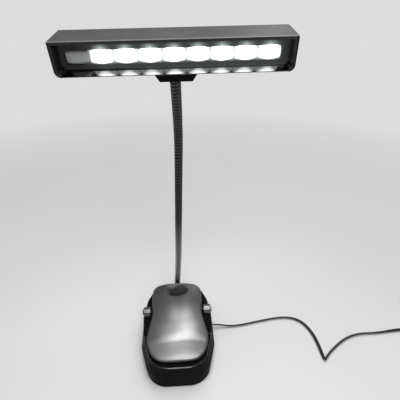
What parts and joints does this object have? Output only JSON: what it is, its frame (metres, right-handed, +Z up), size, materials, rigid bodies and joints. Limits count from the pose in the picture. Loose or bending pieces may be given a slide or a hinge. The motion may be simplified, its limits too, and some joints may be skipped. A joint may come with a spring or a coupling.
{
  "type": "clip-on piano lamp",
  "caption": "Clip-on piano lamp: a long dark hood with a row of small lights on a slim ribbed gooseneck, rising from a battery base with a sprung silver clip lever.",
  "frame": {"origin": "centre of the base's rest face, on the table", "axes": "+Z up the neck, -Y towards the player, the side the lights face, +X to the lamp's left-hand side as it faces the player, where the cord leaves"},
  "size_m": [0.4482, 0.1117, 0.3218],
  "materials": {
    "case_black": "polished",
    "case_matte": "satin",
    "plate_silver": "satin",
    "hood_grey": "satin",
    "panel_black": "polished",
    "neck_black": "satin",
    "bright_steel": "polished",
    "screw_steel": "satin",
    "lens_clear": "clear",
    "reflector_white": "polished",
    "led_yellow": "satin",
    "board_green": "satin",
    "rubber_black": "matte",
    "rubber_grey": "matte",
    "cell_wrap": "satin",
    "contact_nickel": "satin",
    "cord_black": "satin",
    "lead_red": "satin"
  },
  "bodies": {
    "base": {"bottom_case": "case_matte", "top_case": "case_black", "rubber_foot": "rubber_black", "base_screws": "screw_steel", "battery_cells": "cell_wrap", "contact_plates": "contact_nickel", "contact_springs": "contact_nickel", "base_board": "board_green", "hinge_barrels": "bright_steel", "hinge_pin": "bright_steel", "hinge_pin_cap": "bright_steel", "lower_jaw_pad": "rubber_grey", "torsion_spring": "contact_nickel", "neck_collar": "bright_steel", "neck_nut": "screw_steel", "cord_grommet": "rubber_black", "cord_run": "cord_black", "cord_coil": "cord_black", "coil_tie": "rubber_grey", "cord_tail": "cord_black", "plug_body": "rubber_black", "plug_shell": "contact_nickel", "plug_tongue": "reflector_white"},
    "lever": {"lever_plate": "plate_silver", "lever_frame": "case_matte", "lever_screws": "screw_steel", "upper_jaw_pad": "rubber_grey"},
    "door": {"battery_door": "case_matte"},
    "neck_1": {"neck_link_1": "neck_black", "neck_lead_1": "lead_red"},
    "neck_2": {"neck_link_2": "neck_black", "neck_lead_2": "lead_red"},
    "neck_3": {"neck_link_3": "neck_black", "neck_lead_3": "lead_red"},
    "neck_4": {"neck_link_4": "neck_black", "neck_lead_4": "lead_red"},
    "neck_5": {"neck_link_5": "neck_black", "neck_lead_5": "lead_red"},
    "neck_6": {"neck_link_6": "neck_black", "neck_lead_6": "lead_red"},
    "neck_7": {"neck_link_7": "neck_black", "neck_lead_7": "lead_red"},
    "neck_8": {"neck_link_8": "neck_black", "neck_lead_8": "lead_red"},
    "neck_9": {"neck_link_9": "neck_black", "neck_lead_9": "lead_red", "head_cover": "hood_grey", "head_bezel": "panel_black", "lens_strip": "lens_clear", "reflector": "reflector_white", "led_chips": "led_yellow", "led_board": "board_green", "head_screws": "screw_steel", "tact_switch": "case_matte", "head_bracket": "case_matte"},
    "button": {"power_button": "rubber_grey", "switch_plunger": "case_matte"}
  },
  "joints": [
    {"name": "lever_hinge", "type": "hinge", "parent": "base", "child": "lever", "pos_m": [0, 0.0072, 0.045], "axis": [-1, 0, 0], "range_deg": [0, 22], "stiffness_Nm_per_rad": 0.4, "springref_deg": -40.11, "deforming": ["torsion_spring"]},
    {"name": "door_hinge", "type": "hinge", "parent": "base", "child": "door", "pos_m": [0, -0.02975, 0.002], "axis": [-1, 0, 0], "range_deg": [0, 75]},
    {"name": "neck_pitch_1", "type": "hinge", "parent": "base", "child": "neck_1", "pos_m": [0, 0.049, 0.036], "axis": [1, 0, 0], "range_deg": [-16, 8]},
    {"name": "neck_side_2", "type": "hinge", "parent": "neck_1", "child": "neck_2", "pos_m": [0.002, 0.04796, 0.06568], "axis": [0, 0.9781, 0.2079], "range_deg": [-15, 15]},
    {"name": "neck_pitch_3", "type": "hinge", "parent": "neck_2", "child": "neck_3", "pos_m": [0.0034, 0.04179, 0.09473], "axis": [1, 0, 0], "range_deg": [-16, 16]},
    {"name": "neck_side_4", "type": "hinge", "parent": "neck_3", "child": "neck_4", "pos_m": [0.0042, 0.03335, 0.12321], "axis": [0, 0.9588, 0.284], "range_deg": [-15, 15]},
    {"name": "neck_pitch_5", "type": "hinge", "parent": "neck_4", "child": "neck_5", "pos_m": [0.005, 0.02492, 0.15168], "axis": [1, 0, 0], "range_deg": [-16, 16]},
    {"name": "neck_side_6", "type": "hinge", "parent": "neck_5", "child": "neck_6", "pos_m": [0.0058, 0.01723, 0.18037], "axis": [0, 0.9659, 0.2588], "range_deg": [-15, 15]},
    {"name": "neck_pitch_7", "type": "hinge", "parent": "neck_6", "child": "neck_7", "pos_m": [0.0066, 0.00954, 0.20906], "axis": [1, 0, 0], "range_deg": [-16, 16]},
    {"name": "neck_side_8", "type": "hinge", "parent": "neck_7", "child": "neck_8", "pos_m": [0.0073, 0.00037, 0.2373], "axis": [0, 0.8746, 0.4848], "range_deg": [-15, 15]},
    {"name": "neck_pitch_9", "type": "hinge", "parent": "neck_8", "child": "neck_9", "pos_m": [0.0072, -0.01403, 0.26328], "axis": [1, 0, 0], "range_deg": [-16, 16]},
    {"name": "button_press", "type": "slide", "parent": "neck_9", "child": "button", "axis": [-0.0241, -0.9851, -0.1702], "range_m": [0, 0.0008], "stiffness_N_per_m": 400, "springref_m": -0.002}
  ]
}
